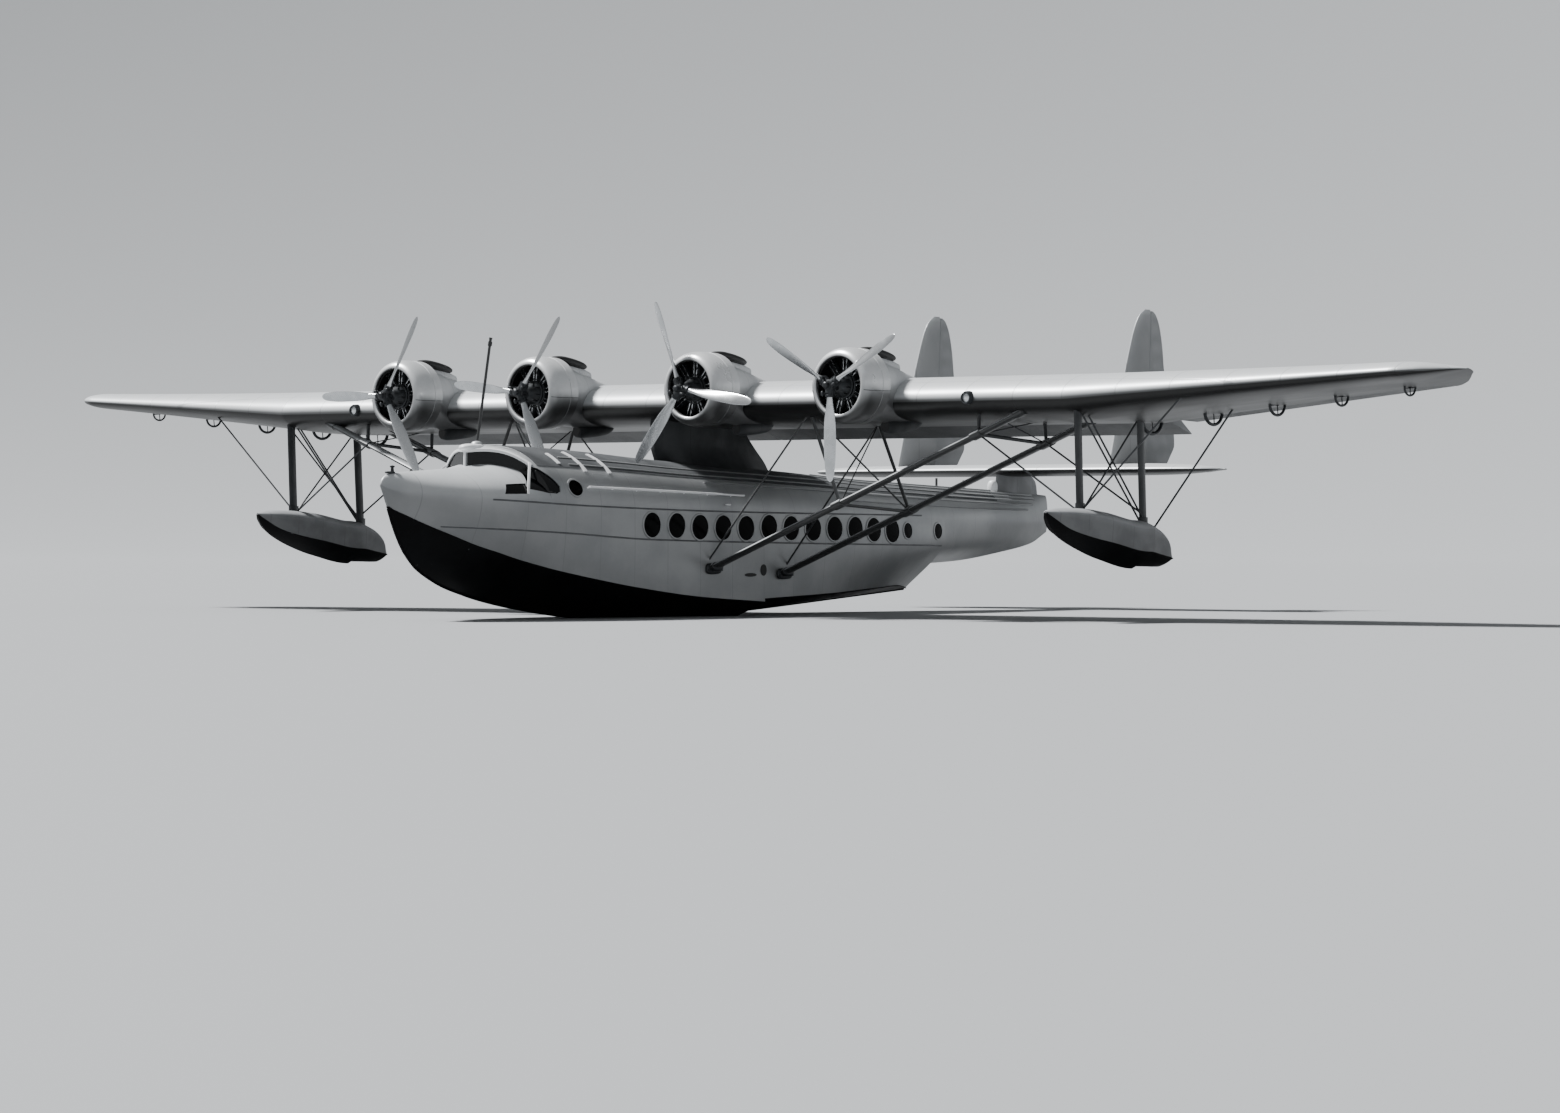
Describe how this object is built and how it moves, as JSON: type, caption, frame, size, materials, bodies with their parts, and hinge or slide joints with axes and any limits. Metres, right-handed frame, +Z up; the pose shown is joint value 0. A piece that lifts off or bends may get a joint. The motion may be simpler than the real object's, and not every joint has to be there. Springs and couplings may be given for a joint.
{
  "type": "four-engined flying boat",
  "caption": "Parasol-winged flying boat airliner with a stepped hull, braced wing, cowled radial engines, strutted wing floats and twin fins, afloat.",
  "frame": {"origin": "on the water's surface, in the plane of symmetry, under the mouths of the engine cowls", "axes": "+X to port along the wing, +Y aft, so the nose points along -Y, +Z up"},
  "size_m": [34.8, 20.43, 6.3703],
  "materials": {
    "silver_paint": "satin",
    "black_paint": "satin",
    "doped_fabric": "satin",
    "cowl_metal": "satin",
    "engine_metal": "satin",
    "propeller_metal": "satin",
    "strut_paint": "satin",
    "window_glass": "gloss"
  },
  "bodies": {
    "root": {"hull_topsides": "silver_paint", "hull_bottom": "black_paint", "cockpit_canopy": "silver_paint", "windscreen_port": "window_glass", "windscreen_starboard": "window_glass", "side_window_port": "window_glass", "side_window_starboard": "window_glass", "wing_pylon": "silver_paint", "wing_centre": "silver_paint", "wing_outer_port": "silver_paint", "wing_outer_starboard": "silver_paint", "nacelle_1": "silver_paint", "nacelle_2": "silver_paint", "nacelle_3": "silver_paint", "nacelle_4": "silver_paint", "engine_1": "engine_metal", "engine_2": "engine_metal", "engine_3": "engine_metal", "engine_4": "engine_metal", "cowl_1": "cowl_metal", "cowl_2": "cowl_metal", "cowl_3": "cowl_metal", "cowl_4": "cowl_metal", "lift_strut_front_port": "strut_paint", "lift_strut_front_starboard": "strut_paint", "lift_strut_rear_port": "strut_paint", "lift_strut_rear_starboard": "strut_paint", "jury_frame_inner_port": "strut_paint", "jury_frame_inner_starboard": "strut_paint", "jury_frame_outer_port": "strut_paint", "jury_frame_outer_starboard": "strut_paint", "float_port": "silver_paint", "float_starboard": "silver_paint", "float_truss_port": "strut_paint", "float_truss_starboard": "strut_paint", "tail_pedestal": "silver_paint", "tailplane": "silver_paint", "fin_port": "silver_paint", "fin_starboard": "silver_paint", "radio_mast": "strut_paint"},
    "propeller_1": {"propeller_1": "propeller_metal"},
    "propeller_2": {"propeller_2": "propeller_metal"},
    "propeller_3": {"propeller_3": "propeller_metal"},
    "propeller_4": {"propeller_4": "propeller_metal"},
    "flaps": {"flap_port": "silver_paint", "flap_starboard": "silver_paint"},
    "aileron_port": {"aileron_port": "doped_fabric"},
    "aileron_starboard": {"aileron_starboard": "doped_fabric"},
    "elevators": {"elevators": "doped_fabric"},
    "rudder_port": {"rudder_port": "doped_fabric"},
    "rudder_starboard": {"rudder_starboard": "doped_fabric"}
  },
  "joints": [
    {"name": "propeller_1_spin", "type": "hinge", "parent": "root", "child": "propeller_1", "pos_m": [-5.65, -0.215, 4.27], "axis": [0, 1, 0], "continuous": true},
    {"name": "propeller_2_spin", "type": "hinge", "parent": "root", "child": "propeller_2", "pos_m": [-2.04, -0.215, 4.27], "axis": [0, 1, 0], "continuous": true},
    {"name": "propeller_3_spin", "type": "hinge", "parent": "root", "child": "propeller_3", "pos_m": [2.04, -0.215, 4.27], "axis": [0, 1, 0], "continuous": true},
    {"name": "propeller_4_spin", "type": "hinge", "parent": "root", "child": "propeller_4", "pos_m": [5.65, -0.215, 4.27], "axis": [0, 1, 0], "continuous": true},
    {"name": "flap_hinge", "type": "hinge", "parent": "root", "child": "flaps", "pos_m": [0, 4.388, 3.7842], "axis": [1, 0, 0], "range_deg": [-20, 20]},
    {"name": "aileron_port_hinge", "type": "hinge", "parent": "root", "child": "aileron_port", "pos_m": [9.9, 4.3058, 3.7984], "axis": [0.9887, -0.1337, 0.0678], "range_deg": [-20, 20]},
    {"name": "aileron_starboard_hinge", "type": "hinge", "parent": "root", "child": "aileron_starboard", "pos_m": [-9.9, 4.3058, 3.7984], "axis": [0.9887, 0.1337, -0.0678], "range_deg": [-20, 20]},
    {"name": "elevator_hinge", "type": "hinge", "parent": "root", "child": "elevators", "pos_m": [0, 13.1, 2.87], "axis": [1, 0, 0], "range_deg": [-25, 25]},
    {"name": "rudder_port_hinge", "type": "hinge", "parent": "root", "child": "rudder_port", "pos_m": [2.76, 13.32, 3], "axis": [0, 0.0827, 0.9966], "range_deg": [-25, 25]},
    {"name": "rudder_starboard_hinge", "type": "hinge", "parent": "root", "child": "rudder_starboard", "pos_m": [-2.76, 13.32, 3], "axis": [0, 0.0827, 0.9966], "range_deg": [-25, 25]}
  ],
  "couplings": [
    {"joint": "aileron_starboard_hinge", "follows": "aileron_port_hinge", "ratio": -1},
    {"joint": "rudder_starboard_hinge", "follows": "rudder_port_hinge", "ratio": 1}
  ]
}
